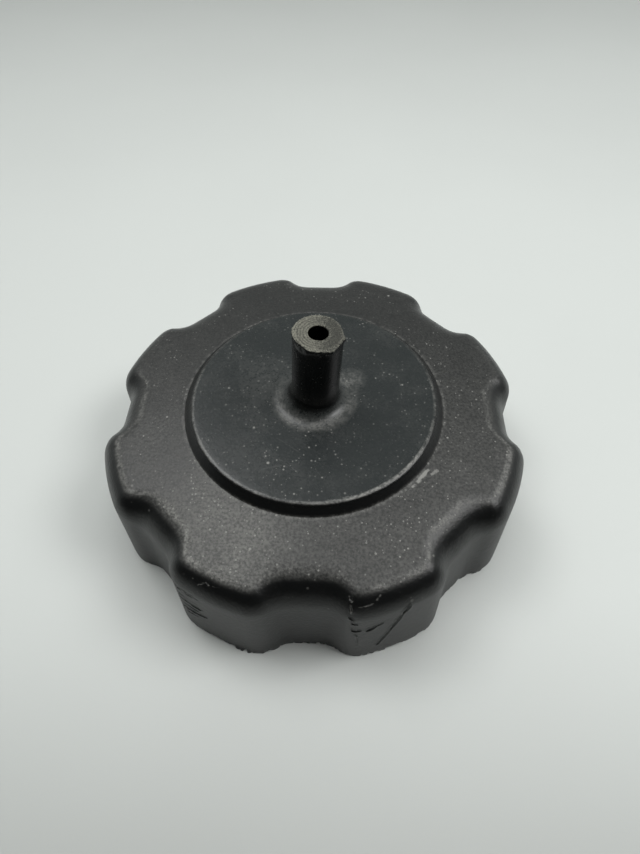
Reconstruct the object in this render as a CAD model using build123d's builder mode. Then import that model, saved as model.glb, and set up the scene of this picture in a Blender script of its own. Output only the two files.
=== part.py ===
from build123d import *
from math import cos, radians, sin, tan
import os

# Screw-on fuel filler cap with a vent spigot, and the rubber gasket that seals it on the tank neck.
# Millimetres, +Z up. The origin is the middle of the open rim that the cap stands on.

# Grip: eight lobes with a shallow notch between each two, measured at the open rim
notch_count = 8
grip_radius = 38.03
notch_floor = 35.2  # axis to the flat floor of a notch
notch_floor_width = 7.0
notch_side_angle = 31.5  # between a notch's floor and its sides
notch_corner_radius = 4.6
lobe_corner_radius = 5.6
wall_draft = 2.75  # degrees, so that the cap leaves its mould
grip_edge_radius = 4.5  # of the arc that the three bevels round the top edge wrap

# Top: a flat land inside the bevels, a shallow cone inside it and the raised disc
land_height = 20.15
land_radius = 29.7
crown_height = 21.1  # at the foot of the disc
disc_foot_radius = 22.44
disc_flank_top = (21.4, 22.4)  # radius and height of the bevelled flank's upper edge
disc_radius = 20.9
disc_height = 22.65

# Vent spigot: leans a little to +X, bent in use
spigot_radius = 4.0
spigot_top = 38.1
spigot_foot_offset = 0.2
spigot_lean = 3.0  # degrees
spigot_lean_azimuth = 3.65  # degrees, from +X
spigot_root_height = 1.7  # above the disc, where the root begins to flare
spigot_root_waist = (4.6, 0.6)  # radius and height between the root's two bevels
spigot_root_foot = (6.3, -0.5)
vent_radius = 1.6
vent_foot_radius = 2.5
vent_foot_height = 25.0  # where the bore narrows

# Threaded collar inside the skirt, its wall at the thread's root
collar_radius = 32.6
neck_radius = 29.6
mouth_radius = 30.6
mouth_depth = 1.4
neck_depth = 14.3  # end of the threaded wall

# Gasket seat, and the underside of the top inside it
seat_radius = 28.8
seat_height = 17.4
centre_radius = 20.6
centre_height = 19.7

# Cored pockets in the lobes, open below
skirt_thickness = 2.8
pocket_height = 15.5
pocket_corner_radius = 0.7

# Sealing gasket
gasket_outer_radius = 28.7
gasket_inner_radius = 22.4
gasket_thickness = 2.5

notch_depth = grip_radius - notch_floor
notch_mouth_width = notch_floor_width + 4 * notch_depth / tan(radians(notch_side_angle))
first_notch = -90

# Bevels tangent to the edge's arc: a wide one first, then its two edges are bevelled again
edge_half_turn = (90 - wall_draft) / 2
bevel_reach = [grip_edge_radius * tan(radians(edge_half_turn / share)) for share in (1, 2, 4)]
wide_bevel = bevel_reach[0] - bevel_reach[1]
narrow_bevel = bevel_reach[1] - bevel_reach[2]
wall_top_height = land_height - wide_bevel * cos(radians(wall_draft))

# The grip's outline at the rim: a disc with eight trapezoids cut out and every corner rounded
with BuildSketch(Plane.XY) as grip_outline:
    Circle(grip_radius)
    with PolarLocations(notch_floor, notch_count, start_angle=first_notch):
        Polygon(
            (0, -notch_floor_width / 2),
            (2 * notch_depth, -notch_mouth_width / 2),
            (2 * notch_depth, notch_mouth_width / 2),
            (0, notch_floor_width / 2),
            align=None,
            mode=Mode.SUBTRACT,
        )
    corners = grip_outline.vertices().group_by(lambda v: round(Vector(v).length, 2))
    fillet(corners[0], radius=notch_corner_radius)
    lobe_corners = grip_outline.vertices().filter_by(lambda v: abs(Vector(v).length - grip_radius) < 0.01)
    fillet(lobe_corners, radius=lobe_corner_radius)

# The spigot's own axis, from the middle of its foot, and the plane of its profile
lean_across = sin(radians(spigot_lean))
spigot_axis = Axis(
    origin=(
        spigot_foot_offset * cos(radians(spigot_lean_azimuth)),
        spigot_foot_offset * sin(radians(spigot_lean_azimuth)),
        disc_height,
    ),
    direction=(
        lean_across * cos(radians(spigot_lean_azimuth)),
        lean_across * sin(radians(spigot_lean_azimuth)),
        cos(radians(spigot_lean)),
    ),
)
spigot_plane = Plane(origin=spigot_axis.position, z_dir=spigot_axis.direction)
spigot_profile = Plane(
    origin=spigot_axis.position,
    x_dir=spigot_plane.x_dir,
    z_dir=-spigot_plane.y_dir,
)
spigot_length = spigot_top - disc_height

with BuildPart() as cap_body:
    # Grip skirt, drafted, with its top edge rounded off in three bevels
    add(grip_outline.sketch)
    extrude(amount=land_height)
    draft(cap_body.faces().filter_by(Axis.Z, reverse=True), Plane.XY, wall_draft)
    chamfer(cap_body.faces().sort_by(Axis.Z)[-1].edges(), length=wide_bevel)
    chamfer(cap_body.faces().sort_by(Axis.Z)[-1].edges(), length=narrow_bevel)
    wall_tops = cap_body.edges().filter_by(lambda e: abs(e.center().Z - wall_top_height) < 0.05)
    chamfer(wall_tops, length=narrow_bevel)
    # Shallow cone and raised disc
    with BuildSketch(Plane.XZ):
        with BuildLine():
            Polyline(
                (0, land_height),
                (land_radius, land_height),
                (disc_foot_radius, crown_height),
                disc_flank_top,
                (disc_radius, disc_height),
                (0, disc_height),
                close=True,
            )
        make_face()
    revolve(axis=Axis.Z)
    # Vent spigot with its flared root
    with BuildSketch(spigot_profile):
        with BuildLine():
            Polyline(
                (0, spigot_length),
                (spigot_radius, spigot_length),
                (spigot_radius, spigot_root_height),
                spigot_root_waist,
                spigot_root_foot,
                (0, spigot_root_foot[1]),
                close=True,
            )
        make_face()
    revolve(axis=spigot_axis)
    # Inside of the collar up to the gasket seat, the recess in the middle and the wide foot of the vent
    with BuildSketch(Plane.XZ):
        with BuildLine():
            Polyline(
                (0, 0),
                (mouth_radius, 0),
                (neck_radius, mouth_depth),
                (neck_radius, neck_depth),
                (seat_radius, neck_depth),
                (seat_radius, seat_height),
                (centre_radius, seat_height),
                (centre_radius, centre_height),
                (vent_foot_radius, centre_height),
                (vent_foot_radius, vent_foot_height),
                (0, vent_foot_height),
                close=True,
            )
        make_face()
    revolve(axis=Axis.Z, mode=Mode.SUBTRACT)
    # Cored pockets
    with BuildSketch(Plane.XY) as pocket_plan:
        add(grip_outline.sketch)
        offset(amount=-skirt_thickness, mode=Mode.REPLACE)
        Circle(collar_radius, mode=Mode.SUBTRACT)
        pocket_tips = pocket_plan.vertices().filter_by(lambda v: Vector(v).length < collar_radius + 0.01)
        fillet(pocket_tips, radius=pocket_corner_radius)
    extrude(amount=pocket_height, mode=Mode.SUBTRACT)
    # Vent bore
    with BuildSketch(spigot_plane.offset(spigot_length)):
        Circle(vent_radius)
    extrude(amount=-spigot_length, mode=Mode.SUBTRACT)

with BuildPart() as sealing_gasket:
    with BuildSketch(Plane.XY.offset(seat_height - gasket_thickness)):
        Circle(gasket_outer_radius)
        Circle(gasket_inner_radius, mode=Mode.SUBTRACT)
    extrude(amount=gasket_thickness)

cap_body.part.label = "cap_body"
sealing_gasket.part.label = "sealing_gasket"
os.makedirs("parts", exist_ok=True)
export_step(cap_body.part, "parts/cap_body.step")
export_step(sealing_gasket.part, "parts/sealing_gasket.step")
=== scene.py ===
"""Screw-on fuel filler cap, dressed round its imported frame: the moulded body, its gasket and a plain studio."""

import logging
import math
from dataclasses import dataclass
from enum import Enum
from typing import Iterable, Sequence

import bpy
import numpy as np
from mathutils import Matrix, Vector, noise

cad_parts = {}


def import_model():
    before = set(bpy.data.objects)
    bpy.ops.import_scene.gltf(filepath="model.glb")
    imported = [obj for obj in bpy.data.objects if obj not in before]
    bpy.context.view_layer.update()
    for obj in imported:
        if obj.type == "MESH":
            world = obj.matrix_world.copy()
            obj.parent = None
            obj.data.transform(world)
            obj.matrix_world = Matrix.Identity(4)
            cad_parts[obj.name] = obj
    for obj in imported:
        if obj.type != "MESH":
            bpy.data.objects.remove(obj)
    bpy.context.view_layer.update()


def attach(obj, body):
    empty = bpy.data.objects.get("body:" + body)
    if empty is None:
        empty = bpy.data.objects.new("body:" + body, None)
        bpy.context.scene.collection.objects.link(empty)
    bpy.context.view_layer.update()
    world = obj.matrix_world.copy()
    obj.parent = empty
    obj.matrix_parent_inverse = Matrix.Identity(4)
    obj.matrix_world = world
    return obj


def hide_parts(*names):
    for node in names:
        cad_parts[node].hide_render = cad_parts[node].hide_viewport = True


MM = 0.001
SEAM = 1e-7  # metres within which a spun section's two ends are one
STRAY = 3e-6  # metres within which the booleans leave doubles
LOG = logging.getLogger("fuel_cap")

Point = tuple[float, float]
Place = tuple[float, float, float]
Colour = tuple[float, float, float, float]
Settings = dict[str, object]


# --- bench work


def lay_down_tools() -> None:
    """Leave edit mode and deselect every object."""
    if bpy.context.object and bpy.context.object.mode != "OBJECT":
        bpy.ops.object.mode_set(mode="OBJECT")
    for item in list(bpy.context.selected_objects):
        item.select_set(False)


def take_up(piece: bpy.types.Object) -> None:
    """Make one object the only selected and active one.

    Args:
        piece: The object to work on.
    """
    lay_down_tools()
    piece.select_set(True)
    bpy.context.view_layer.objects.active = piece


def positions(piece: bpy.types.Object) -> np.ndarray:
    """Read a mesh's vertices.

    Args:
        piece: A mesh object in object mode.

    Returns:
        An array of one row of x, y and z for each vertex, in metres.
    """
    flat = np.empty(len(piece.data.vertices) * 3)
    piece.data.vertices.foreach_get("co", flat)
    return flat.reshape(-1, 3)


def move_to(piece: bpy.types.Object, places: np.ndarray) -> None:
    """Write a mesh's vertices back, one row of x, y and z for each, in metres."""
    piece.data.vertices.foreach_set("co", places.ravel())
    piece.data.update()


def choose(piece: bpy.types.Object, mask: np.ndarray, kind: str = "FACE") -> None:
    """Select vertices or faces by a mask and open the piece in edit mode.

    Args:
        piece: The mesh object.
        mask: True for each element to select.
        kind: Either FACE or VERT.
    """
    take_up(piece)
    bpy.ops.object.mode_set(mode="EDIT")
    bpy.ops.mesh.select_mode(type=kind)
    bpy.ops.mesh.select_all(action="DESELECT")
    bpy.ops.object.mode_set(mode="OBJECT")
    elements = piece.data.polygons if kind == "FACE" else piece.data.vertices
    elements.foreach_set("select", mask.astype(bool))
    bpy.ops.object.mode_set(mode="EDIT")


def draw_loop(name: str, corners: Sequence[Place]) -> bpy.types.Object:
    """Draw a closed loop of edges by extruding one vertex from corner to corner.

    Args:
        name: The new object's name.
        corners: Each corner's x, y and z, in millimetres.

    Returns:
        The loop, with each corner's number in the attribute "station".
    """
    lay_down_tools()
    bpy.ops.mesh.primitive_plane_add(size=MM, location=(0, 0, 0))
    loop = bpy.context.object
    loop.name = loop.data.name = name
    bpy.ops.object.mode_set(mode="EDIT")
    bpy.ops.mesh.select_mode(type="VERT")
    bpy.ops.mesh.select_all(action="SELECT")
    bpy.ops.mesh.merge(type="CENTER")
    places = np.array(corners) * MM
    bpy.ops.transform.translate(value=tuple(places[0]))
    for step in np.diff(places, axis=0):
        bpy.ops.mesh.extrude_region_move(TRANSFORM_OT_translate={"value": tuple(step)})
    bpy.ops.object.mode_set(mode="OBJECT")
    nearest = [int(np.argmin(((places - place) ** 2).sum(1))) for place in positions(loop)]
    station = loop.data.attributes.new("station", "INT", "POINT")
    station.data.foreach_set("value", nearest)
    choose(loop, np.isin(nearest, (0, len(corners) - 1)), "VERT")
    bpy.ops.mesh.edge_face_add()
    bpy.ops.object.mode_set(mode="OBJECT")
    return loop


def draw_section(name: str, corners: Sequence[Point]) -> bpy.types.Object:
    """Draw a closed section in the XZ plane, from the radius and height of each corner in millimetres."""
    return draw_loop(name, [(radius, 0.0, height) for radius, height in corners])


def close_outward() -> None:
    """Turn every face of the open piece outward and leave edit mode."""
    bpy.ops.mesh.select_all(action="SELECT")
    bpy.ops.mesh.normals_make_consistent(inside=False)
    bpy.ops.object.mode_set(mode="OBJECT")


def spin_round(section: bpy.types.Object, steps: int) -> None:
    """Spin a section once round Z and close the seam.

    Args:
        section: The section's object, which becomes the turned solid.
        steps: How many steps the full turn has.
    """
    take_up(section)
    bpy.ops.object.mode_set(mode="EDIT")
    bpy.ops.mesh.select_all(action="SELECT")
    bpy.ops.mesh.spin(steps=steps, angle=math.tau, center=(0, 0, 0), axis=(0, 0, 1), use_auto_merge=False)
    bpy.ops.mesh.select_all(action="SELECT")
    bpy.ops.mesh.remove_doubles(threshold=SEAM)
    close_outward()


def cut_or_join(piece: bpy.types.Object, tool: bpy.types.Object, operation: str) -> None:
    """Apply a boolean modifier and throw the tool away.

    Args:
        piece: The object that is changed.
        tool: The closed mesh that is cut out or joined on.
        operation: Either DIFFERENCE or UNION.
    """
    take_up(piece)
    modifier = piece.modifiers.new(operation.lower(), "BOOLEAN")
    modifier.operation, modifier.solver, modifier.object = operation, "EXACT", tool
    bpy.ops.object.modifier_apply(modifier=modifier.name)
    bpy.data.objects.remove(tool, do_unlink=True)


def mend(piece: bpy.types.Object) -> None:
    """Merge stray doubles, dissolve needle faces and close pinholes that the booleans left.

    Args:
        piece: The mesh to clean.
    """
    choose(piece, np.ones(len(piece.data.polygons), bool))
    bpy.ops.mesh.remove_doubles(threshold=STRAY)
    bpy.ops.mesh.dissolve_degenerate(threshold=1e-6)
    bpy.ops.mesh.select_mode(type="VERT")
    bpy.ops.mesh.select_all(action="DESELECT")
    bpy.ops.mesh.select_non_manifold(extend=False)
    bpy.ops.mesh.fill_holes(sides=0)
    close_outward()


def soften(piece: bpy.types.Object, degrees: float) -> None:
    """Shade a piece smooth except across edges sharper than an angle in degrees."""
    take_up(piece)
    bpy.ops.object.shade_smooth_by_angle(angle=math.radians(degrees))


def ease(x: np.ndarray) -> np.ndarray:
    """Return the smooth step of x from 0 to 1."""
    t = np.clip(x, 0, 1)
    return t * t * (3 - 2 * t)


# --- shader maths


class Wire:
    """One output socket of a node tree, with arithmetic that adds Math nodes."""

    def __init__(self, graph: "Graph", socket: bpy.types.NodeSocket) -> None:
        """Keep the graph and the socket."""
        self.graph = graph
        self.socket = socket

    def math(self, operation: str, *others: object) -> "Wire":
        """Apply a Math operation to this value and any further operands."""
        return self.graph.node("ShaderNodeMath", {"operation": operation}, (self, *others))

    def __add__(self, other: object) -> "Wire":
        """Add."""
        return self.math("ADD", other)

    __radd__ = __add__

    def __sub__(self, other: object) -> "Wire":
        """Subtract."""
        return self.math("SUBTRACT", other)

    def __rsub__(self, other: float) -> "Wire":
        """Subtract this from a number."""
        return self.graph.node("ShaderNodeMath", {"operation": "SUBTRACT"}, (other, self))

    def __mul__(self, other: object) -> "Wire":
        """Multiply."""
        return self.math("MULTIPLY", other)

    __rmul__ = __mul__

    def __truediv__(self, other: object) -> "Wire":
        """Divide."""
        return self.math("DIVIDE", other)

    def __neg__(self) -> "Wire":
        """Turn the sign."""
        return self.math("MULTIPLY", -1.0)

    def __pow__(self, other: object) -> "Wire":
        """Raise to a power."""
        return self.math("POWER", other)

    def clamped(self) -> "Wire":
        """Return the value held between 0 and 1."""
        return self.math("MAXIMUM", 0.0).math("MINIMUM", 1.0)

    def step(self, low: float, high: float) -> "Wire":
        """Return a smooth step of the value.

        Args:
            low: Where the result is 0.
            high: Where the result is 1, which may be below low.

        Returns:
            The result's wire.
        """
        if high < low:
            return 1.0 - self.step(high, low)
        settings: Settings = {"interpolation_type": "SMOOTHSTEP", "clamp": True}
        return self.graph.node("ShaderNodeMapRange", settings, (self, low, high, 0.0, 1.0))


class Graph:
    """A node tree, filled by one method that makes any node."""

    def __init__(self, tree: bpy.types.NodeTree) -> None:
        """Keep the node tree of a material or a world."""
        self.tree = tree

    def link(self, socket: bpy.types.NodeSocket, value: object) -> None:
        """Join a wire to a socket, or set the socket's value.

        Args:
            socket: The input socket.
            value: A wire, a value, or None to leave the socket alone.
        """
        if isinstance(value, Wire):
            self.tree.links.new(value.socket, socket)
        elif value is not None:
            socket.default_value = value

    def node(self, kind: str, settings: Settings | None = None, inputs: Iterable[object] = (), out: int = 0) -> Wire:
        """Make a node.

        Args:
            kind: The node's type.
            settings: Its properties, set before its sockets. "named" sets sockets by name or number.
            inputs: A value or wire for each socket in order, or None to leave one alone.
            out: Which output to return.

        Returns:
            The chosen output's wire.
        """
        made = self.tree.nodes.new(kind)
        settings = dict(settings or {})
        named = settings.pop("named", {})
        for key, value in settings.items():
            setattr(made, key, value)
        for socket, value in zip(made.inputs, inputs):
            self.link(socket, value)
        for key, value in named.items():
            self.link(made.inputs[key], value)
        return Wire(self, made.outputs[out])

    def millimetres(self) -> Wire:
        """Return the Object coordinates in millimetres."""
        return self.scaled(self.node("ShaderNodeTexCoord", out=3), 1 / MM)

    def scaled(self, vector: object, factor: object) -> Wire:
        """Scale a vector by a number or a wire."""
        return self.node("ShaderNodeVectorMath", {"operation": "SCALE", "named": {"Scale": factor}}, (vector,))

    def axes(self, vector: Wire) -> tuple[Wire, Wire, Wire]:
        """Split a vector into its x, y and z."""
        split = self.node("ShaderNodeSeparateXYZ", {}, (vector,)).socket.node
        return tuple(Wire(self, output) for output in split.outputs)

    def vector(self, operation: str, a: object, b: object = None, out: int = 0) -> Wire:
        """Apply a Vector Math operation and return its vector, or its value if out is 1."""
        return self.node("ShaderNodeVectorMath", {"operation": operation}, (a, b), out)

    def near(self, place: Wire, middle: Place, far: float, close: float) -> Wire:
        """Return 1 within a close distance of a point, falling to 0 at a far one."""
        return self.vector("DISTANCE", place, middle, out=1).step(far, close)

    def noise(self, place: Wire, scale: float, detail: float = 2.0, rough: float = 0.5) -> Wire:
        """Return a noise value, about 0.5 in the middle, its scale per millimetre."""
        named = {"Scale": scale, "Detail": detail, "Roughness": rough}
        return self.node("ShaderNodeTexNoise", {"named": named}, (place,))

    def specks(self, place: Wire, spacing: float, radius: float, share: float) -> Wire:
        """Scatter round specks of differing size.

        Args:
            place: The coordinates in millimetres.
            spacing: The mean distance between candidates.
            radius: The largest speck's radius.
            share: The share of candidates that show.

        Returns:
            A mask, 1 on a speck.
        """
        named = {"Scale": 1.0 / spacing}
        cell = self.node("ShaderNodeTexVoronoi", {"named": named}, (place,)).socket.node
        distance = Wire(self, cell.outputs["Distance"]) * spacing
        chance, size, _ = self.axes(Wire(self, cell.outputs["Color"]))
        reach = (size * 0.7 + 0.3) * radius * (1.0 - chance.step(share, share + 0.01))
        return (1.0 - distance / (reach + 1e-4)).step(0.0, 0.45)

    def colour(self, factor: object, a: object, b: object) -> Wire:
        """Mix two colours, from the first at a factor of 0 to the second at 1."""
        return self.node("ShaderNodeMix", {"data_type": "RGBA", "named": {0: factor, 6: a, 7: b}}, out=2)


class Coat(Graph):
    """A material's tree with a Principled shader and the coordinates in millimetres."""

    def __init__(self, name: str) -> None:
        """Make an empty material.

        Args:
            name: The material's name.
        """
        self.material = bpy.data.materials.new(name)
        self.material.use_nodes = True
        super().__init__(self.material.node_tree)
        self.shader = self.tree.nodes["Principled BSDF"]
        self.place = self.millimetres()
        self.x, self.y, self.z = self.axes(self.place)

    def radius(self) -> Wire:
        """Return the distance from the cap's axis."""
        return (self.x * self.x + self.y * self.y) ** 0.5

    def bump(self, height: Wire, depth: float, below: Wire | None = None) -> Wire:
        """Return a bumped normal.

        Args:
            height: The height's wire, from 0 to 1.
            depth: The height of 1 in millimetres.
            below: A bumped normal to build on.

        Returns:
            The normal's wire.
        """
        named: Settings = {"Strength": 1.0, "Distance": depth * MM, "Height": height}
        if below is not None:
            named["Normal"] = below
        return self.node("ShaderNodeBump", {"named": named})

    def feed(self, **sockets: object) -> bpy.types.Material:
        """Set the shader's sockets.

        Args:
            sockets: Values or wires by socket name, with _ for a space.

        Returns:
            The material.
        """
        for key, value in sockets.items():
            self.link(self.shader.inputs[key.replace("_", " ")], value)
        return self.material


# --- the grip's outline


@dataclass(frozen=True)
class GripOutline:
    """The plan outline of the grip at the rim: eight lobes and the notches between them, in millimetres."""

    lobes: int = 8
    lobe_radius: float = 38.03
    notch_floor: float = 35.2
    floor_width: float = 7.0
    side_angle: float = 31.5
    notch_corner: float = 4.6
    lobe_corner: float = 5.6
    first_notch: float = -90.0

    def half_period(self, samples: int) -> tuple[np.ndarray, np.ndarray]:
        """Walk from the middle of a notch to the middle of a lobe.

        Args:
            samples: How many equal steps of length the walk has.

        Returns:
            The points, and the angle of the outward normal at each, with the notch's middle on +X.
        """
        side = math.radians(self.side_angle)
        half_floor = self.floor_width / 2 - self.notch_corner * math.tan(side / 2)
        along = np.array((math.sin(side), math.cos(side)))
        inward = np.array((-math.cos(side), math.sin(side)))
        corner = np.array((self.notch_floor, self.floor_width / 2))
        base = corner + self.lobe_corner * inward
        reach = self.lobe_radius - self.lobe_corner
        b = float(base @ along)
        run = -b + math.sqrt(b * b - float(base @ base) + reach**2)
        centre = base + run * along
        lobe_start = math.atan2(centre[1], centre[0])
        lobe_end = math.pi / self.lobes
        side_start = self.notch_corner * math.tan(side / 2)
        lengths = (
            half_floor,
            self.notch_corner * side,
            run - side_start,
            self.lobe_corner * (lobe_start + side),
            self.lobe_radius * (lobe_end - lobe_start),
        )
        ends = np.cumsum(lengths)
        points, normals = [], []
        for s in np.linspace(0, ends[-1], samples + 1):
            part = int(np.searchsorted(ends, s - 1e-9))
            t = s - (ends[part - 1] if part else 0.0)
            if part == 0:
                point, normal = (self.notch_floor, t), 0.0
            elif part == 1:
                turn = t / self.notch_corner
                point = (
                    self.notch_floor + self.notch_corner * (1 - math.cos(turn)),
                    half_floor + self.notch_corner * math.sin(turn),
                )
                normal = -turn
            elif part == 2:
                point, normal = tuple(corner + (side_start + t) * along), -side
            elif part == 3:
                normal = -side + t / self.lobe_corner
                point = tuple(centre + self.lobe_corner * np.array((math.cos(normal), math.sin(normal))))
            else:
                normal = lobe_start + t / self.lobe_radius
                point = (self.lobe_radius * math.cos(normal), self.lobe_radius * math.sin(normal))
            points.append(point)
            normals.append(normal)
        return np.array(points), np.array(normals)

    def whole(self, steps: int) -> tuple[np.ndarray, np.ndarray]:
        """Walk once round the outline from the first notch.

        Args:
            steps: How many points the walk has, a multiple of twice the number of lobes.

        Returns:
            The points and the outward normals.
        """
        half = steps // (2 * self.lobes)
        points, normals = self.half_period(half)
        mirrored = points[1:-1][::-1] * (1, -1)
        points = np.concatenate([points, self._turned(mirrored, 2 * math.pi / self.lobes)])
        normals = np.concatenate([normals, 2 * math.pi / self.lobes - normals[1:-1][::-1]])
        start = math.radians(self.first_notch)
        turns = [start + i * 2 * math.pi / self.lobes for i in range(self.lobes)]
        all_points = np.concatenate([self._turned(points, turn) for turn in turns])
        angles = np.concatenate([normals + turn for turn in turns])
        return all_points, np.stack([np.cos(angles), np.sin(angles)], axis=1)

    @staticmethod
    def _turned(points: np.ndarray, angle: float) -> np.ndarray:
        """Return the points turned about the origin."""
        c, s = math.cos(angle), math.sin(angle)
        return points @ np.array(((c, s), (-s, c)))


# --- wear

@dataclass(frozen=True)
class Mark:
    """One scratch, cut, nick or scuff along a line. Millimetres."""

    start: Place
    end: Place
    width: float
    depth: float = 0.0
    pale: float = 0.0


MARKS: tuple[Mark, ...] = (
    # long cut down the lobe right of the front notch, and the short gouge beside it
    Mark((15.5, -33.8, 16.7), (14.57, -34.39, 14.15), 0.34, 0.42),
    Mark((14.57, -34.39, 14.15), (13.1, -35.2, 9.4), 0.30, 0.42),
    Mark((13.1, -35.2, 9.4), (11.3, -36.1, 4.0), 0.26, 0.36),
    Mark((15.7, -33.5, 17.4), (15.1, -34.0, 15.8), 0.3, 0.0, 0.3),
    Mark((9.3, -36.22, 11.6), (10.5, -35.95, 12.6), 0.42, 0.4),
    Mark((10.3, -36.0, 12.4), (11.9, -35.55, 13.4), 0.22, 0.25),
    # ragged nicks and torn fibres down the corner between the front notch and that lobe
    Mark((6.4, -33.9, 19.3), (6.8, -34.4, 19.0), 0.24, 0.22, 0.5),
    Mark((6.7, -34.9, 18.4), (6.8, -35.5, 17.5), 0.26, 0.3, 0.6),
    Mark((7.9, -35.1, 18.5), (9.9, -34.6, 18.7), 0.13, 0.1, 0.35),
    Mark((8.4, -35.4, 17.9), (9.2, -34.9, 18.5), 0.12, 0.1, 0.3),
    Mark((10.3, -34.2, 19.0), (10.9, -33.5, 19.4), 0.12, 0.0, 0.35),
    Mark((6.5, -35.9, 16.4), (7.3, -36.1, 15.6), 0.26, 0.34, 0.12),
    Mark((6.9, -36.1, 14.6), (7.8, -36.3, 14.3), 0.24, 0.32),
    Mark((7.0, -36.3, 13.4), (7.1, -36.4, 11.9), 0.2, 0.14, 0.3),
    Mark((7.1, -36.4, 11.6), (8.4, -36.3, 12.1), 0.3, 0.42),
    Mark((7.4, -36.4, 10.6), (8.0, -36.6, 9.6), 0.22, 0.16, 0.34),
    Mark((7.9, -36.6, 9.2), (8.1, -36.8, 5.8), 0.2, 0.16, 0.4),
    Mark((8.1, -36.8, 5.0), (7.9, -36.9, 3.6), 0.16, 0.1, 0.3),
    # parallel scratches on the left corner of the lobe left of the notch
    Mark((-19.7, -31.4, 15.4), (-16.2, -33.4, 14.9), 0.3, 0.46),
    Mark((-19.2, -31.9, 14.0), (-17.6, -32.8, 14.2), 0.16, 0.2),
    Mark((-20.1, -31.4, 12.9), (-16.8, -33.3, 12.3), 0.2, 0.26),
    Mark((-20.2, -31.5, 11.2), (-16.3, -33.7, 11.0), 0.28, 0.42),
    Mark((-20.1, -31.7, 9.4), (-17.0, -33.5, 9.6), 0.2, 0.26),
    Mark((-20.0, -31.9, 7.6), (-15.9, -34.1, 8.6), 0.3, 0.44),
    Mark((-19.9, -32.1, 5.9), (-17.4, -33.6, 6.9), 0.2, 0.22),
    Mark((-20.1, -31.2, 15.8), (-19.1, -31.8, 13.9), 0.22, 0.1, 0.3),
    # scuffs on the rounding above it
    Mark((-15.7, -32.5, 18.6), (-14.6, -32.4, 19.1), 0.12, 0.12, 0.3),
    Mark((-14.5, -32.3, 19.2), (-13.6, -33.0, 18.9), 0.11, 0.12, 0.34),
    Mark((-13.4, -32.9, 19.1), (-12.3, -33.1, 19.2), 0.1, 0.08, 0.26),
    Mark((-17.3, -29.9, 19.5), (-16.9, -30.7, 19.1), 0.25, 0.12, 0.3),
    # pale scuffs on the slope right of the disc
    Mark((16.3, -16.5, 21.0), (18.9, -13.3, 21.0), 0.34, 0.05, 0.95),
    Mark((17.3, -15.3, 21.0), (18.4, -13.9, 21.0), 0.6, 0.0, 0.6),
    Mark((19.5, -14.0, 20.95), (20.4, -13.3, 20.9), 0.36, 0.04, 0.75),
    Mark((15.0, -17.2, 21.05), (15.9, -16.9, 21.0), 0.25, 0.0, 0.5),
    # faint scratches on the disc
    Mark((-7.9, -12.2, 22.65), (-6.4, -13.6, 22.65), 0.16, 0.0, 0.22),
    Mark((-7.5, -14.9, 22.65), (-4.6, -14.2, 22.65), 0.14, 0.0, 0.2),
    Mark((-5.0, -12.9, 22.65), (-1.9, -15.3, 22.65), 0.13, 0.0, 0.18),
    Mark((-9.2, -6.4, 22.65), (-1.5, -11.8, 22.65), 0.10, 0.0, 0.09),
    Mark((2.5, -9.0, 22.65), (9.5, -12.0, 22.65), 0.09, 0.0, 0.08),
    # flecks on the disc's edge
    Mark((3.1, -20.2, 22.6), (4.6, -20.1, 22.6), 0.22, 0.06, 0.5),
    Mark((5.3, -19.7, 22.6), (6.6, -19.4, 22.6), 0.2, 0.05, 0.45),
    # nicks in the spigot's wall
    Mark((-2.55, -2.1, 36.0), (-2.3, -2.5, 35.2), 0.22, 0.1, 0.3),
    Mark((2.2, -3.78, 37.3), (2.4, -3.7, 37.1), 0.14, 0.05, 0.7),
)


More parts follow.
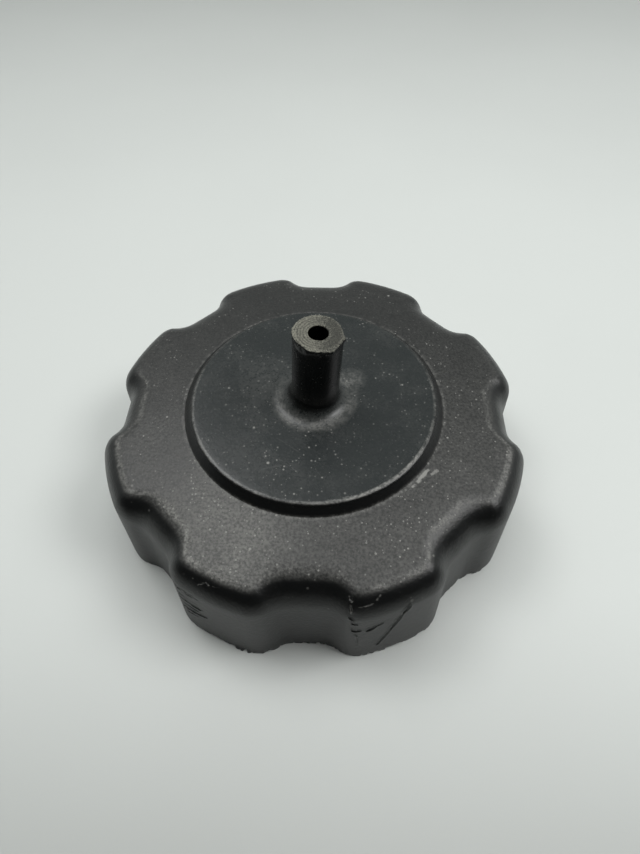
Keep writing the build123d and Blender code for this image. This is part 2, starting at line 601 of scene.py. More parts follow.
@dataclass
class Wear:
    """The damage that has a shape: cuts, nicks, the ragged rim and the rough cut end of the spigot."""

    cap: "CapBody"
    least_carved: float = 0.07  # the least depth that needs finer faces
    around_mark: float = 0.75  # how far beyond a mark's width the faces are made finer
    skirt_wall: float = 34.0  # the radius outside which the grip's wall lies
    fine_band: float = 0.9  # height of the finer faces along the rim
    frayed_band: float = 0.95  # height of what is frayed
    box_half: float = 37.01  # half the width that the damage keeps inside
    end_height: float = 36.0  # where the spigot's rough end begins
    end_reach: float = 6.5  # the radius that holds all of the end
    end_outline: tuple[Point, ...] = (
        (-183.0, 4.12), (-158.0, 3.9), (-126.0, 3.68), (-110.0, 3.98), (-84.0, 3.94), (-57.0, 4.42),
        (-50.0, 4.2), (-36.0, 4.02), (-20.0, 4.0), (-11.0, 4.3), (0.0, 3.85), (19.0, 3.8), (52.0, 3.97),
        (100.0, 3.92), (140.0, 3.98), (177.0, 4.12),
    )  # fmt: skip

    def work(self, body: bpy.types.Object) -> None:
        """Damage the moulding.

        Args:
            body: The shaped body, before its pockets and thread.
        """
        self._refine(body)
        places = positions(body) / MM
        normals = np.empty(len(places) * 3)
        body.data.vertex_normals.foreach_get("vector", normals)
        normals = normals.reshape(-1, 3)
        for mark in MARKS:
            if mark.depth:
                self._carve(places, normals, mark)
        self._fray_rim(places, normals)
        self._rough_end(places)
        move_to(body, places * MM)

    @staticmethod
    def along(places: np.ndarray, mark: Mark) -> tuple[np.ndarray, np.ndarray]:
        """Measure points against a mark's line.

        Args:
            places: The points.
            mark: The mark.

        Returns:
            How far along the line each point is, from 0 to 1, and its distance from it.
        """
        start, run = np.array(mark.start), np.array(mark.end) - np.array(mark.start)
        share = np.clip((places - start) @ run / (run @ run), 0, 1)
        return share, np.linalg.norm(places - start - share[:, None] * run, axis=1)

    def _refine(self, body: bpy.types.Object) -> None:
        """Divide the faces near the marks and along the rim finely enough to carry the damage.

        Args:
            body: The shaped body.
        """
        middles = np.empty(len(body.data.polygons) * 3)
        body.data.polygons.foreach_get("center", middles)
        middles = middles.reshape(-1, 3) / MM
        near = np.zeros(len(middles), bool)
        for mark in MARKS:
            if mark.depth > self.least_carved:
                near |= self.along(middles, mark)[1] < self.around_mark + mark.width
        radius = np.hypot(middles[:, 0], middles[:, 1])
        near |= (middles[:, 2] < self.fine_band) & (middles[:, 2] > 0.001) & (radius > self.skirt_wall)
        choose(body, near)
        bpy.ops.mesh.subdivide(number_cuts=3, ngon=False)
        bpy.ops.object.mode_set(mode="OBJECT")

    def _carve(self, places: np.ndarray, normals: np.ndarray, mark: Mark) -> None:
        """Cut one groove with a small raised lip.

        Args:
            places: The vertices, changed in place.
            normals: Their outward normals.
            mark: The groove.
        """
        share, away = self.along(places, mark)
        near = away < mark.width * 3
        for i in np.nonzero(near)[0]:
            flutter = noise.noise(Vector(places[i]) * 1.3)
            width = mark.width * (0.45 + 0.55 * math.sin(math.pi * share[i]) ** 0.5) * (1 + 0.5 * flutter)
            sink = max(0.0, 1 - away[i] / width) ** 0.7
            lip = math.exp(-(((away[i] - 1.5 * width) / (0.5 * width)) ** 2))
            places[i] -= normals[i] * mark.depth * (sink - 0.22 * lip)

    def _fray_rim(self, places: np.ndarray, normals: np.ndarray) -> None:
        """Nick and fray the lower edge.

        Args:
            places: The vertices, changed in place.
            normals: Their outward normals.
        """
        radius = np.hypot(places[:, 0], places[:, 1])
        outward = normals[:, 0] * places[:, 0] + normals[:, 1] * places[:, 1] > 0.3 * radius
        for i in np.nonzero((places[:, 2] < self.frayed_band) & (radius > self.skirt_wall) & outward)[0]:
            x, y, z = places[i]
            low = 1 - z / self.frayed_band
            azimuth = math.degrees(math.atan2(y, x))
            fine = noise.noise(Vector((x * 1.5, y * 1.5, 3.0)))
            broad = noise.noise(Vector((x * 0.55, y * 0.55, 8.0)))
            front = 0.35 + 2.2 * math.exp(-(((azimuth + 62) / 42) ** 2))
            torn = math.exp(-(((azimuth + 105.5) / 4.5) ** 2)) + 0.6 * math.exp(-(((azimuth + 38.5) / 2.2) ** 2))
            nick = (max(0.0, fine - 0.1) * 0.9 + max(0.0, broad - 0.1) * 0.9) * front + 0.15
            inward = low * max(nick * 0.5 - torn * (0.25 + 0.9 * fine), -0.5)
            places[i, :2] *= 1 - inward / radius[i]
            places[i, 2] += low * max(0.0, fine + broad * 0.8 - 0.12) * 0.6 * front
        places[:, :2] = np.clip(places[:, :2], -self.box_half, self.box_half)

    def _rough_end(self, places: np.ndarray) -> None:
        """Give the spigot its rough, unevenly cut end.

        Args:
            places: The vertices, changed in place.
        """
        angle, azimuth = math.radians(self.cap.spigot_lean), math.radians(self.cap.spigot_azimuth)
        axis = Vector((math.sin(angle) * math.cos(azimuth), math.sin(angle) * math.sin(azimuth), math.cos(angle)))
        offset = self.cap.spigot_offset
        foot = Vector((offset * math.cos(azimuth), offset * math.sin(azimuth), self.cap.disc_height))
        length = self.cap.spigot_top - self.cap.disc_height
        turns, reaches = zip(*self.end_outline)
        at_end = (places[:, 2] > self.end_height) & (np.hypot(places[:, 0], places[:, 1]) < self.end_reach)
        for i in np.nonzero(at_end)[0]:
            point = Vector(places[i])
            rise = (point - foot).dot(axis)
            across = point - foot - axis * rise
            reach = across.length
            if reach < self.cap.vent_radius + 0.02:
                continue
            turn = math.degrees(math.atan2(across.y, across.x))
            wanted = float(np.interp(turn, turns, reaches))
            rough = noise.fractal(point * 2.1, 0.7, 2.0, 3)
            high = float(ease(np.array((rise - length + 1.5) / 1.1)))
            outer = float(ease(np.array((reach - 2.4) / 1.4)))
            grown = across * (1 + high * outer * (wanted / self.cap.spigot_radius - 1 + 0.022 * rough))
            top = 1.0 if rise > length - 0.1 else 0.0
            grain = 0.075 * rough + 0.05 * noise.noise(point * 6.3)
            chamfer = -0.12 * max(0.0, reach - 3.6) if wanted < 3.9 else 0.0
            places[i] = foot + grown + axis * (rise + top * (grain - 0.05 + chamfer))


# --- the body


class Zone(Enum):
    """What shapes a stretch of the body's section."""

    GRIP = "follows the lobed outline"
    CROWN = "runs from the outline to the disc's circle"
    ROUND = "turned about the cap's axis"
    SPIGOT = "turned about the spigot's leaning axis"


@dataclass
class CapBody:
    """The one moulding: lobed grip, sloping crown, raised disc, vent spigot and the collar inside. Millimetres."""

    outline: GripOutline = GripOutline()
    steps: int = 384
    draft: float = 2.75
    edge_radius: float = 4.5
    notch_swell: float = 1.33
    crown_slope: float = 5.5
    crown_height: float = 21.1
    disc_foot: float = 22.44
    disc_radius: float = 20.5
    disc_height: float = 22.65
    flank_angle: float = 47.0
    disc_edge: float = 1.1
    spigot_radius: float = 4.0
    spigot_top: float = 38.05
    spigot_lean: float = 3.0
    spigot_azimuth: float = 3.65
    spigot_offset: float = 0.2
    root_radius: float = 2.9
    vent_radius: float = 1.6
    vent_foot: Point = (2.5, 25.0)
    mouth: Point = (30.6, 1.4)
    neck: Point = (29.6, 14.3)
    seat: Point = (28.8, 17.4)
    centre: Point = (20.6, 19.7)
    skirt: float = 2.8
    collar: float = 32.6
    pocket_height: float = 15.5
    thread_pitch: float = 5.0
    thread_height: float = 1.4
    thread_turns: float = 1.5
    thread_start: float = 3.6

    def build(self) -> bpy.types.Object:
        """Model the whole moulding.

        Returns:
            The finished mesh object.
        """
        stations, zones = self._stations()
        body = draw_section("cap_moulding", stations)
        spin_round(body, self.steps)
        self._press_shape(body, np.array(stations), zones)
        Wear(self).work(body)
        cut_or_join(body, self._pockets(), "DIFFERENCE")
        cut_or_join(body, self._thread(), "UNION")
        mend(body)
        soften(body, 32)
        return body

    def _stations(self) -> tuple[list[Point], list[Zone]]:
        """Lay out the section from the rim's outer edge over the top and back through the inside.

        Returns:
            The corners as radius and height, and each one's zone. On the grip the radius is that of a lobe.
        """
        rows: list[tuple[Point, Zone]] = []

        def run(points: Iterable[Point], zone: Zone) -> None:
            """Add points to the section."""
            rows.extend((point, zone) for point in points)

        draft = math.radians(self.draft)
        slope = math.radians(self.crown_slope)
        lobe = self.outline.lobe_radius
        tilt_end = math.pi / 2 - slope
        inset, wall_top = self._lobe_edge()
        wall = [(lobe - z * math.tan(draft), z) for z in np.linspace(0.0, wall_top, 18)]
        run(wall, Zone.GRIP)
        arc_r = wall[-1][0] - self.edge_radius * math.cos(draft)
        arc_z = wall_top - self.edge_radius * math.sin(draft)
        for tilt in np.linspace(draft, tilt_end, 15)[1:]:
            run([(arc_r + self.edge_radius * math.cos(tilt), arc_z + self.edge_radius * math.sin(tilt))], Zone.GRIP)
        inner = lobe - inset
        crown = np.linspace(inner, self.disc_foot, 19)[1:]
        run([(r, self.crown_at(r)) for r in crown], Zone.CROWN)
        run(self._disc_profile(), Zone.ROUND)
        run([(r, self.disc_height) for r in (19.5, 17, 14, 11, 9, 8, 7.2)], Zone.ROUND)
        run(self._spigot_profile(), Zone.SPIGOT)
        vent_r, vent_z = self.vent_foot
        run([(vent_r, vent_z), (vent_r, 22.5), (vent_r, self.centre[1])], Zone.ROUND)
        run([(r, self.centre[1]) for r in (8.0, 14.0)], Zone.ROUND)
        run([self.centre, (self.centre[0], self.seat[1])], Zone.ROUND)
        run([self.seat, (self.seat[0], self.neck[1])], Zone.ROUND)
        neck_r, neck_z = self.neck
        run([(neck_r, z) for z in np.linspace(neck_z, self.mouth[1], 5)], Zone.ROUND)
        run([(self.mouth[0], 0.0)], Zone.ROUND)
        run([(lobe - 1.0, 0.0)], Zone.GRIP)
        return [row[0] for row in rows], [row[1] for row in rows]

    def crown_at(self, radius: float | np.ndarray) -> float | np.ndarray:
        """Return the height of the sloping crown at a radius."""
        return self.crown_height - (radius - self.disc_foot) * math.tan(math.radians(self.crown_slope))

    def _edge_rows(self, rim: np.ndarray, normal: np.ndarray, swell: np.ndarray) -> tuple[np.ndarray, np.ndarray]:
        """Find where the rounding of the top edge meets the crown and the wall.

        Args:
            rim: Points of the outline at the open rim.
            normal: Their outward normals.
            swell: How much larger than the edge radius the rounding is at each of them.

        Returns:
            How far inside the outline the rounding ends, and the height where it starts.
        """
        draft, slope = math.radians(self.draft), math.radians(self.crown_slope)
        across = self.edge_radius * (math.cos(draft) - math.sin(slope))
        rise = self.edge_radius * (math.cos(slope) - math.sin(draft))
        wall_top = np.full(len(rim), self.pocket_height)
        for _ in range(4):
            inset = across * swell + wall_top * math.tan(draft)
            wall_top = self.crown_at(np.linalg.norm(rim - inset[:, None] * normal, axis=1)) - rise * swell
        return inset, wall_top

    def _lobe_edge(self) -> tuple[float, float]:
        """Return how far inside a lobe its rounding ends, and the height where it starts."""
        rows = self._edge_rows(np.array([[self.outline.lobe_radius, 0.0]]), np.array([[1.0, 0.0]]), np.ones(1))
        return float(rows[0][0]), float(rows[1][0])

    def _disc_profile(self) -> list[Point]:
        """Draw the disc's bevelled flank and rounded edge, from its foot to its flat.

        Returns:
            The radius and height of each corner.
        """
        flank = math.radians(self.flank_angle)
        centre_r = self.disc_radius
        centre_z = self.disc_height - self.disc_edge
        reach = self.disc_edge * math.sin(flank)
        top = (centre_r + reach, centre_z + self.disc_edge * math.cos(flank))
        points = [
            (self.disc_foot + (top[0] - self.disc_foot) * t, self.crown_height + (top[1] - self.crown_height) * t)
            for t in (0.04, 0.35, 0.7)
        ]
        for turn in np.linspace(flank, 0, 9):
            points.append((centre_r + self.disc_edge * math.sin(turn), centre_z + self.disc_edge * math.cos(turn)))
        return points

    def _spigot_profile(self) -> list[Point]:
        """Draw the spigot from its flared root over its cut end and down the vent.

        Returns:
            The radius and height of each corner.
        """
        points: list[Point] = []
        root, r, z = self.root_radius, self.spigot_radius, self.disc_height
        for turn in np.linspace(0, math.pi / 2, 11)[:-1]:
            points.append((r + root - root * math.sin(turn), z + root - root * math.cos(turn)))
        points += [(r, h) for h in np.linspace(z + root, self.spigot_top - 1.6, 12)]
        points += [(r, h) for h in np.linspace(self.spigot_top - 1.4, self.spigot_top - 0.15, 9)]
        points += [(r - 0.06, self.spigot_top - 0.04), (r - 0.2, self.spigot_top)]
        points += [(radius, self.spigot_top) for radius in np.linspace(r - 0.36, self.vent_radius + 0.15, 13)]
        points += [(self.vent_radius + 0.03, self.spigot_top - 0.05)]
        points += [(self.vent_radius, h) for h in (self.spigot_top - 0.25, 37.3, 36.5, 34.0, 30.0, 27.0)]
        points += [(self.vent_radius, self.vent_foot[1] + 0.01)]
        return points

    def _press_shape(self, body: bpy.types.Object, stations: np.ndarray, zones: list[Zone]) -> None:
        """Press the turned blank into its lobes and lean its spigot.

        Args:
            body: The turned blank.
            stations: Radius and height of each section corner.
            zones: The zone of each section corner.
        """
        station = np.empty(len(body.data.vertices), dtype=np.int32)
        body.data.attributes["station"].data.foreach_get("value", station)
        places = positions(body) / MM
        rim, normal = self.outline.whole(self.steps)
        first = math.radians(self.outline.first_notch)
        turn = (np.arctan2(places[:, 1], places[:, 0]) - first) % math.tau
        index = np.rint(turn / math.tau * self.steps).astype(int) % self.steps
        theta = first + index * math.tau / self.steps
        around = np.stack([np.cos(theta), np.sin(theta)], axis=1)
        radius, height = stations[station, 0], stations[station, 1]
        zone = np.array([list(Zone).index(z) for z in zones])[station]
        lobe = self.outline.lobe_radius
        depth = (lobe - np.hypot(rim[:, 0], rim[:, 1])) / (lobe - self.outline.notch_floor)
        swell = 1 + (self.notch_swell - 1) * ease(depth) ** 3
        inset, wall_top = self._edge_rows(rim, normal, swell)
        lobe_inset, lobe_top = self._lobe_edge()
        edge = rim - inset[:, None] * normal

        def settle(kind: Zone, across: np.ndarray, up: np.ndarray) -> None:
            """Put the vertices of one zone in their places."""
            chosen = zone == list(Zone).index(kind)
            places[chosen, :2], places[chosen, 2] = across[chosen], up[chosen]

        share = np.clip(height / lobe_top, 0, 1)
        above = np.maximum(height - lobe_top, 0)
        top = wall_top[index]
        slant = math.tan(math.radians(self.draft))
        beyond = lobe - radius - share * lobe_top * slant
        inward = share * top * slant + beyond * np.where(share < 1, 1, swell[index])
        settle(Zone.GRIP, rim[index] - inward[:, None] * normal[index], share * top + above * swell[index])
        t = (lobe - lobe_inset - radius) / (lobe - lobe_inset - self.disc_foot)
        blended = edge[index] * (1 - t)[:, None] + around * self.disc_foot * t[:, None]
        settle(Zone.CROWN, blended, self.crown_at(np.hypot(blended[:, 0], blended[:, 1])))
        settle(Zone.ROUND, around * radius[:, None], height)
        leaning = self.lean(np.column_stack([around * radius[:, None], height]))
        settle(Zone.SPIGOT, leaning[:, :2], leaning[:, 2])
        move_to(body, places * MM)

    def lean(self, places: np.ndarray) -> np.ndarray:
        """Lean upright points of the spigot over, fading out at its root.

        Args:
            places: Points of an upright spigot on the cap's axis.

        Returns:
            The leaning points.
        """
        azimuth = math.radians(self.spigot_azimuth)
        way = np.array((math.cos(azimuth), math.sin(azimuth)))
        rise = places[:, 2] - self.disc_height
        free = ease(rise / self.root_radius)
        angle = math.radians(self.spigot_lean) * free
        across = places[:, :2] @ way
        moved = places.copy()
        shift = across * (np.cos(angle) - 1) + rise * np.sin(angle) + self.spigot_offset * free
        moved[:, :2] += shift[:, None] * way
        moved[:, 2] = self.disc_height + rise * np.cos(angle) - across * np.sin(angle)
        return moved

    def _pockets(self) -> bpy.types.Object:
        """Make the eight cores that leave the pockets inside the lobes.

        Returns:
            One object with eight closed prisms.
        """
        rim, normal = self.outline.whole(self.steps)
        inner = (rim - self.skirt * normal)[: self.steps // self.outline.lobes + 1]
        outer = inner[np.hypot(inner[:, 0], inner[:, 1]) > self.collar + 0.35]
        angles = np.arctan2(outer[:, 1], outer[:, 0])
        pad = 0.5 / self.collar
        back = np.linspace(angles[-1] - pad, angles[0] + pad, len(outer))
        arc = np.stack([np.cos(back), np.sin(back)], axis=1) * self.collar
        low = -1.0
        core = draw_loop("pocket_cores", [(x, y, low) for x, y in np.concatenate([outer, arc])])
        take_up(core)
        bpy.ops.object.mode_set(mode="EDIT")
        bpy.ops.mesh.select_all(action="SELECT")
        bpy.ops.mesh.edge_face_add()
        lift = (0, 0, (self.pocket_height - low) * MM)
        bpy.ops.mesh.extrude_region_move(TRANSFORM_OT_translate={"value": lift})
        close_outward()
        places = positions(core)
        cores = [core]
        for lobe in range(1, self.outline.lobes):
            copy = bpy.data.objects.new("pocket_core", core.data.copy())
            bpy.context.scene.collection.objects.link(copy)
            turn = Matrix.Rotation(lobe * math.tau / self.outline.lobes, 3, "Z")
            move_to(copy, places @ np.array(turn).T)
            cores.append(copy)
        take_up(core)
        for copy in cores:
            copy.select_set(True)
        bpy.ops.object.join()
        return core

    def _thread(self) -> bpy.types.Object:
        """Make the ridge of the neck thread, faded into the wall at both ends.

        Returns:
            The closed ridge, its foot inside the collar's wall.
        """
        wall, crest = self.neck[0], -self.thread_height
        profile = ((0.5, -1.3), (crest, -0.45), (crest, 0.45), (0.5, 1.3))
        ridge = draw_section("thread_ridge", [(wall + dr, self.thread_start + dz) for dr, dz in profile])
        screw = ridge.modifiers.new("turns", "SCREW")
        screw.angle = math.tau * self.thread_turns
        screw.screw_offset = self.thread_pitch * self.thread_turns * MM
        screw.steps = screw.render_steps = int(144 * self.thread_turns)
        take_up(ridge)
        bpy.ops.object.modifier_apply(modifier=screw.name)
        choose(ridge, np.ones(len(ridge.data.polygons)))
        bpy.ops.mesh.fill_holes(sides=0)
        close_outward()
        places = positions(ridge) / MM
        radius = np.hypot(places[:, 0], places[:, 1])
        is_crest = radius < wall
        middle = places[:, 2] - self.thread_start
        turn = middle / self.thread_pitch
        free = ease(turn / 0.09) * ease((self.thread_turns - turn) / 0.09)
        wanted = np.where(is_crest, wall + 0.3 - (0.3 + self.thread_height) * free, radius)
        places[:, :2] *= (wanted / radius)[:, None]
        move_to(ridge, places * MM)
        return ridge


@dataclass
class Gasket:
    """The flat rubber ring on its seat, pressed by a neck. Millimetres."""

    inner: float = 22.4
    outer: float = 28.7
    low: float = 14.9
    high: float = 17.4
    edge: float = 0.35
    steps: int = 256

    def build(self) -> bpy.types.Object:
        """Model the ring.

        Returns:
            The finished mesh object.
        """
        e = self.edge
        corners: list[Point] = [
            (self.inner + e, self.low),
            (24.2, self.low),
            (24.7, self.low + 0.12),
            (26.9, self.low + 0.12),
            (27.4, self.low),
            (self.outer - e, self.low),
            (self.outer - e * 0.3, self.low + e * 0.3),
            (self.outer, self.low + e),
            (self.outer, self.high - e),
            (self.outer - e * 0.3, self.high - e * 0.3),
            (self.outer - e, self.high),
            (self.inner + e, self.high),
            (self.inner + e * 0.3, self.high - e * 0.3),
            (self.inner, self.high - e),
            (self.inner, self.low + e),
            (self.inner + e * 0.3, self.low + e * 0.3),
        ]
        ring = draw_section("gasket_ring", corners)
        spin_round(ring, self.steps)
        soften(ring, 40)
        return ring


# --- finishes


@dataclass(frozen=True)
class MouldedPlastic:
    """Black moulding: fine grain on the grip, smoother and bluer on the disc, with dust, specks and wear, painted
    highlights on the disc's edge, the lobes' ridge and round the spigot's root, and painted shade on the spigot's
    shaft.
    """

    name: str = "moulded_plastic_worn"
    black: Colour = (0.0052, 0.0055, 0.0055, 1.0)
    blue_black: Colour = (0.0130, 0.0165, 0.0168, 1.0)
    # the pale tint of the dust, also used for the painted highlights
    dust: Colour = (0.26, 0.257, 0.240, 1.0)
    # painted shade: a darker copy of the black for the spigot's shaft
    shaded_shaft_black: Colour = (0.0012, 0.0014, 0.0014, 1.0)
    torn_dark: Colour = (0.030, 0.030, 0.024, 1.0)
    torn_pale: Colour = (0.225, 0.22, 0.178, 1.0)
    root_middle: Place = (0.2, 0.0, 22.65)
    spigot_foot: Place = (0.2, 0.01, 22.65)
    spigot_axis: Place = (0.0522, 0.0033, 0.9986)
    spigot_end: Point = (15.12, 15.26)  # along the axis, where the cut end's colour begins and is full

    def make(self) -> bpy.types.Material:
        """Build the material.

        Returns:
            The finished material.
        """
        g = Coat(self.name)
        p, z, r = g.place, g.z, g.radius()
        # the moulding's regions
        disc = r.step(21.0, 20.6) * z.step(22.2, 22.5)
        crown = r.step(22.2, 22.7) * z.step(19.3, 20.1)
        wall = z.step(18.6, 16.6)
        shaft = z.step(23.4, 24.6)
        crease = r.step(22.1, 22.45) * r.step(23.1, 22.6) * z.step(20.6, 20.9)
        edge = r.step(20.2, 20.6) * r.step(21.6, 21.2) * z.step(21.5, 22.0)
        end = self._spigot_end(g)
        front = (0.0 - g.y).step(-30.0, 34.0)
        left = g.near(p, (-14.0, -27.0, 20.0), 17.0, 3.0)
        right = g.near(p, (19.0, -22.0, 20.0), 13.0, 3.0)
        middle = g.near(p, (-1.0, -13.5, 22.6), 10.0, 3.0)
        # what breaks them up, from broad to fine
        cloud = g.noise(p, 0.16, 4, 0.6)
        mottle = g.noise(p, 0.9, 4, 0.65)
        grain = g.noise(p, 2.4, 3, 0.6)
        # dust, thickest at the front left and in the crease round the disc, with the painted highlights of the edges
        # and the spigot's root added below
        dust_and_sheen = crown * (front * 0.12 + left * 0.20 + 0.06) * (cloud * 0.9 + 0.55) * (mottle * 0.8 + 0.6)
        dust_and_sheen = dust_and_sheen + disc * (cloud.step(0.42, 0.7) * 0.04 + 0.02) + wall * (mottle * 0.01)
        dust_and_sheen = dust_and_sheen + crease * mottle.step(0.35, 0.6) * 0.18 + self._root_dust_and_highlight(g, mottle)
        dust_and_sheen = (dust_and_sheen + self._edge_wear_and_highlight(g, mottle)) * (1.0 - shaft)
        # specks in clusters
        clusters = cloud.step(0.44, 0.62) * 0.6 + left * 0.9 + right * 0.6 + middle * 0.9 + 0.15
        open_face = crown * 0.8 + disc * 0.7 + wall * 0.08 + 0.04
        small = g.specks(p, 0.62, 0.2, 0.5) * open_face * clusters
        large = g.specks(p, 1.7, 0.28, 0.35) * (open_face * 0.7 + 0.1) * (clusters * 0.8 + 0.3)
        dust_and_sheen_share = dust_and_sheen * (grain.step(0.3, 0.7) * 1.1 + 0.45) + (small * 1.1 + large * 1.6) * (1.0 - shaft * 0.7)
        dust_and_sheen_share = dust_and_sheen_share.math("MAXIMUM", self._marks(g, mottle)).clamped()
        base = g.colour(disc, self.black, self.blue_black)
        # painted shade: the spigot's shaft gets a darker copy of the black
        base = g.colour(shaft, base, self.shaded_shaft_black)
        base = g.colour(end, base, self._torn(g))
        rough = 0.32 + crown * 0.04 - disc * 0.06 - edge * 0.06 + wall * 0.1
        rough = rough + dust_and_sheen_share * 0.35 + end * 0.4 + (mottle - 0.5) * 0.08
        calm = 1.0 - disc * 0.6
        relief = g.bump(mottle * calm, 0.04, g.bump(grain * calm, 0.05))
        return g.feed(Base_Color=g.colour(dust_and_sheen_share, base, self.dust), Roughness=rough, Normal=relief, IOR=1.5)

    def _torn(self, g: Coat) -> Wire:
        """Colour the spigot's torn end: pale cut rings with fibres, darker to the right.

        Args:
            g: The material's tree.

        Returns:
            The colour.
        """
        across, up = g.x - 1.0, g.y - 0.05
        reach = (across * across + up * up) ** 0.5
        rings = ((reach + g.noise(g.place, 1.6, 3, 0.7) * 0.5) * 14.0).math("SINE") * 0.5 + 0.5
        drawn_out = g.node("ShaderNodeMapping", {"named": {"Scale": (1.0, 1.0, 0.4)}}, (g.place,))
        fibres = g.noise(drawn_out, 4.5, 3, 0.75).step(0.36, 0.66)
        rim = reach.step(3.3, 3.8) * 0.5 + (1.0 - reach.step(1.8, 2.3)) * 0.25
        tone = fibres * 0.55 + rings * (1.0 - across.step(-2.0, 2.5)) * 0.45
        tone = tone + rim * fibres - across.step(-1.0, 2.0) * 0.22
        return g.colour(tone.clamped(), self.torn_dark, self.torn_pale)

    @staticmethod
    def _edge_wear_and_highlight(g: Coat, mottle: Wire) -> Wire:
        """Pale the disc's edge and the upper edge of the lobes with rubbed wear and a painted highlight.

        Args:
            g: The material's tree.
            mottle: A noise that breaks the wear up.

        Returns:
            How strong the wear and the painted highlight are.
        """
        x, y, z, r = g.x, g.y, g.z, g.radius()
        wear_and_glint_patches = (mottle.step(0.3, 0.6) * 0.8 + 0.2) * (0.0 - y).step(-24.0, 12.0)
        # the disc's edge: rubbed wear and a painted highlight
        disc_edge = r.step(20.35, 20.7) * r.step(21.15, 20.8) * z.step(21.9, 22.2)
        notch = ((y.math("ARCTAN2", x) + math.pi / 2) * 8.0).math("COSINE").step(-0.45, 0.65)
        away = (r + notch * 3.8 - 34.1).math("ABSOLUTE")
        sides = x.math("ABSOLUTE").step(3.0, 11.0) * 0.85 + 0.15
        # the ridge along the top edge of the lobes: a painted highlight with some wear
        ridge_wear_and_highlight = away.step(0.8, 0.1) * z.step(18.8, 19.5) * sides
        patchy = g.noise(g.place, 0.22, 2).step(0.36, 0.56)
        # painted highlight: the right lamp's glint on the front right of the disc's edge
        right_lamp_glint = x.step(-2.0, 9.0) * y.step(-8.0, -14.0)
        return (disc_edge * (patchy * 0.30 + right_lamp_glint * 0.6 + 0.12) + ridge_wear_and_highlight * (patchy * 0.2 + 0.13)) * wear_and_glint_patches

    def _spigot_end(self, g: Coat) -> Wire:
        """Return a mask of the spigot's cut end."""
        rise = g.vector("SUBTRACT", g.place, self.spigot_foot)
        return g.vector("DOT_PRODUCT", rise, self.spigot_axis, out=1).step(*self.spigot_end)

    def _root_dust_and_highlight(self, g: Coat, mottle: Wire) -> Wire:
        """Lay dust round the spigot's root, with a pale crescent on its front side that is dust and a painted
        highlight.

        Args:
            g: The material's tree.
            mottle: A noise that breaks it up.

        Returns:
            How thick the dust and the painted highlight are.
        """
        y, z = g.y, g.z
        away = g.vector("DISTANCE", g.place, self.root_middle, out=1)
        # the crescent round the root, stronger on the front side, is dust with a painted highlight on the fillet's
        # outer edge
        ring = away.step(4.9, 6.1) * away.step(8.0, 6.7) * (y.step(4.0, -3.0) * 0.8 + 0.2)
        flare = away.step(4.2, 4.8) * away.step(7.0, 5.6) * z.step(26.0, 23.6)
        right = g.near(g.place, (6.6, 4.2, 22.65), 3.2, 1.0)
        left = g.near(g.place, (-9.0, 4.0, 22.65), 6.5, 1.0)
        patches = (ring * 0.30 + right * 0.22 + left * 0.09) * (mottle.step(0.35, 0.62) * 0.8 + 0.3)
        return (patches + flare * (mottle * 0.14)) * z.step(26.5, 25.0) * z.step(21.6, 22.4)

    @staticmethod
    def _marks(g: Coat, mottle: Wire) -> Wire:
        """Draw the pale lines of the scratches and scuffs.

        Args:
            g: The material's tree.
            mottle: A noise that frays them.

        Returns:
            How pale the surface is.
        """
        stir = g.node("ShaderNodeTexNoise", {"named": {"Scale": 2.2, "Detail": 3.0}}, (g.place,), out=1)
        frayed = g.vector("ADD", g.place, g.scaled(g.vector("SUBTRACT", stir, (0.5, 0.5, 0.5)), 0.55))
        total: object = 0.0
        for mark in MARKS:
            if not mark.pale:
                continue
            run = Vector(mark.end) - Vector(mark.start)
            offset = g.vector("SUBTRACT", frayed, mark.start)
            share = g.vector("DOT_PRODUCT", offset, tuple(run / run.length_squared), out=1).clamped()
            away = g.vector("DISTANCE", offset, g.scaled(tuple(run), share), out=1)
            total = away.step(mark.width * 1.15, mark.width * 0.35) * mark.pale + total
        return total * (mottle.step(0.34, 0.58) * 0.85 + 0.15)


@dataclass(frozen=True)
class GasketRubber:
    """Dull black sealing rubber."""

    name: str = "gasket_rubber_dull"
    black: Colour = (0.012, 0.012, 0.012, 1.0)
    bloom: Colour = (0.0324, 0.03, 0.0276, 1.0)

    def make(self) -> bpy.types.Material:
        """Build the material.

        Returns:
            The finished material.
        """
        g = Coat(self.name)
        cloud = g.noise(g.place, 0.3, 4, 0.6)
        return g.feed(
            Base_Color=g.colour(cloud, self.black, self.bloom),
            Roughness=cloud * 0.2 + 0.6,
            Normal=g.bump(g.noise(g.place, 3.0, 2), 0.02),
        )


@dataclass(frozen=True)
class PaleBoard:
    """The pale board that the cap stands on, its colour lighter in a painted pool of light round the cap and darker
    in painted shade in front of it and far behind.
    """

    name: str = "pale_board"
    shade: Colour = (0.40, 0.41, 0.395, 1.0)
    pale: Colour = (0.715, 0.74, 0.715, 1.0)

    def make(self) -> bpy.types.Material:
        """Build the material.

        Returns:
            The finished material.
        """
        g = Coat(self.name)
        cloud = g.noise(g.place, 0.012, 3)
        # painted light: a pool of light round the cap, with painted shade towards the front and the far back
        painted_light_pool = g.y.step(-95.0, -18.0) * g.y.step(500.0, 60.0)
        tone = ((cloud - 0.5) * 0.2 + painted_light_pool).clamped()
        return g.feed(
            Base_Color=g.colour(tone, self.shade, self.pale),
            Roughness=0.6,
            Normal=g.bump(g.noise(g.place, 1.2, 2), 0.01),
        )


# --- the studio


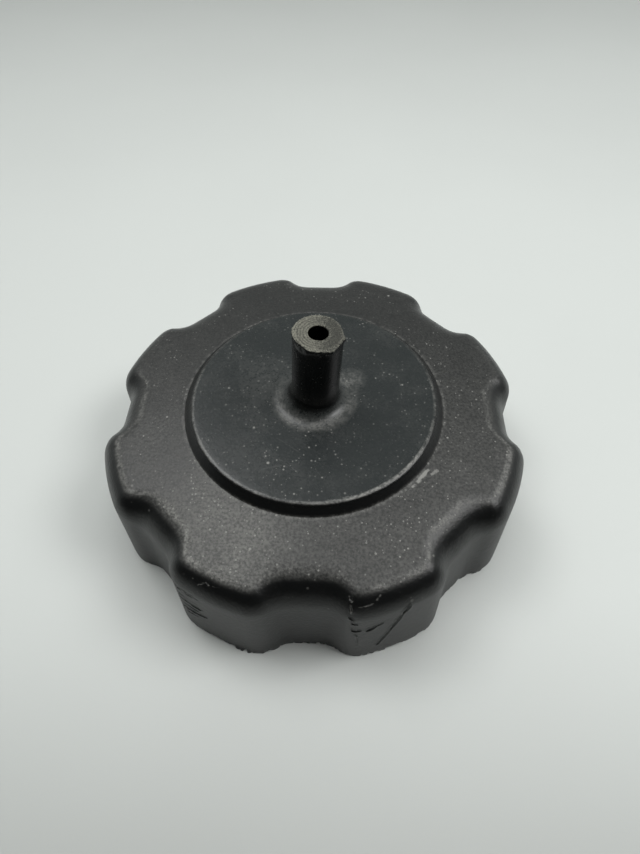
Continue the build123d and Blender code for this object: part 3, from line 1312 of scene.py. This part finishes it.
@dataclass(frozen=True)
class Lamp:
    """One rectangular soft light. Metres and watts."""

    name: str
    place: Place
    size: Point
    power: float
    aim: Place = (0.0, 0.0, 0.0)
    in_gloss: bool = True

    def hang(self) -> None:
        """Put the light in the scene."""
        data = bpy.data.lights.new(self.name, "AREA")
        data.shape = "RECTANGLE"
        data.size, data.size_y = self.size
        data.energy = self.power
        lamp = bpy.data.objects.new(self.name, data)
        bpy.context.scene.collection.objects.link(lamp)
        lamp.location = self.place
        lamp.rotation_euler = (Vector(self.aim) - Vector(self.place)).to_track_quat("-Z", "Y").to_euler()
        lamp.visible_glossy = self.in_gloss


@dataclass
class Studio:
    """Floor, lights and camera. Metres and degrees."""

    camera_place: Place = (0.0, -0.06373, 0.1013)
    pitch: float = 53.96
    yaw: float = 0.910
    roll: float = 0.972
    turn: float = 3.65
    lens: float = 24.69
    sensor: float = 36.0
    board_size: float = 6.0
    lamps: tuple[Lamp, ...] = (
        Lamp("left_softbox", (-0.268, 0.175, 0.568), (0.30, 0.22), 0.98),
        Lamp("right_softbox", (0.405, 0.0, 0.508), (0.30, 0.24), 1.60),
        Lamp("top_panel", (0.0, 0.04, 0.65), (0.34, 0.34), 0.30),
        Lamp("low_fill", (0.01, 0.03, 0.30), (0.2, 0.2), 0.24, aim=(0.01, 0.03, 0.0), in_gloss=False),
    )

    def build(self) -> None:
        """Set the floor, the lights, the world and the camera."""
        lay_down_tools()
        bpy.ops.mesh.primitive_plane_add(size=self.board_size, location=(0, 0, 0))
        floor = bpy.context.object
        floor.name = floor.data.name = "board"
        floor.data.materials.append(PaleBoard().make())
        self._sky()
        for lamp in self.lamps:
            lamp.hang()
        self._camera()
        bpy.context.scene.view_settings.view_transform = "Standard"

    @staticmethod
    def _sky() -> None:
        """Give the studio a soft sky, darker above the side that the camera stands on."""
        world = bpy.data.worlds.new("studio_sky")
        bpy.context.scene.world = world
        world.use_nodes = True
        g = Graph(world.node_tree)
        way = g.node("ShaderNodeTexCoord", out=0)
        _, y, z = g.axes(way)
        glow = g.colour(z.step(0.0, 0.6), (0.47, 0.49, 0.48, 1), (0.40, 0.43, 0.42, 1))
        back = g.tree.nodes["Background"]
        g.link(back.inputs["Color"], g.colour(y.step(-0.35, 0.25), (0.012, 0.013, 0.012, 1), glow))
        back.inputs["Strength"].default_value = 1.0

    def _camera(self) -> None:
        """Stand the camera where the view is taken from."""
        pitch, yaw, roll = (math.radians(v) for v in (self.pitch, self.yaw, self.roll))
        ahead = np.array((math.sin(yaw) * math.cos(pitch), math.cos(yaw) * math.cos(pitch), -math.sin(pitch)))
        right = np.cross(ahead, (0, 0, 1))
        right /= np.linalg.norm(right)
        down = np.cross(ahead, right)
        across = math.cos(roll) * right + math.sin(roll) * down
        below = -math.sin(roll) * right + math.cos(roll) * down
        frame = Matrix([(across[i], -below[i], -ahead[i], self.camera_place[i]) for i in range(3)] + [(0, 0, 0, 1)])
        data = bpy.data.cameras.new("view")
        data.lens, data.sensor_width = self.lens, self.sensor
        data.clip_start, data.clip_end = 0.005, 20.0
        camera = bpy.data.objects.new("view", data)
        bpy.context.scene.collection.objects.link(camera)
        camera.matrix_world = Matrix.Rotation(math.radians(self.turn), 4, "Z") @ frame
        bpy.context.scene.camera = camera


# --- assembly


def fit(piece: bpy.types.Object, node: str, finish: bpy.types.Material) -> None:
    """Stand a finished piece in for its frame node.

    Args:
        piece: The finished mesh object.
        node: The frame's node.
        finish: The piece's material.
    """
    piece.data.materials.clear()
    piece.data.materials.append(finish)
    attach(piece, "root")
    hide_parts(node)
    LOG.info("%s: %d faces, stands for %s", piece.name, len(piece.data.polygons), node)


def main() -> None:
    """Build the cap and the studio round the frame."""
    logging.basicConfig(level=logging.INFO, format="%(name)s: %(message)s")
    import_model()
    fit(CapBody().build(), "cap_body", MouldedPlastic().make())
    fit(Gasket().build(), "sealing_gasket", GasketRubber().make())
    Studio().build()


if __name__ == "__main__":
    main()
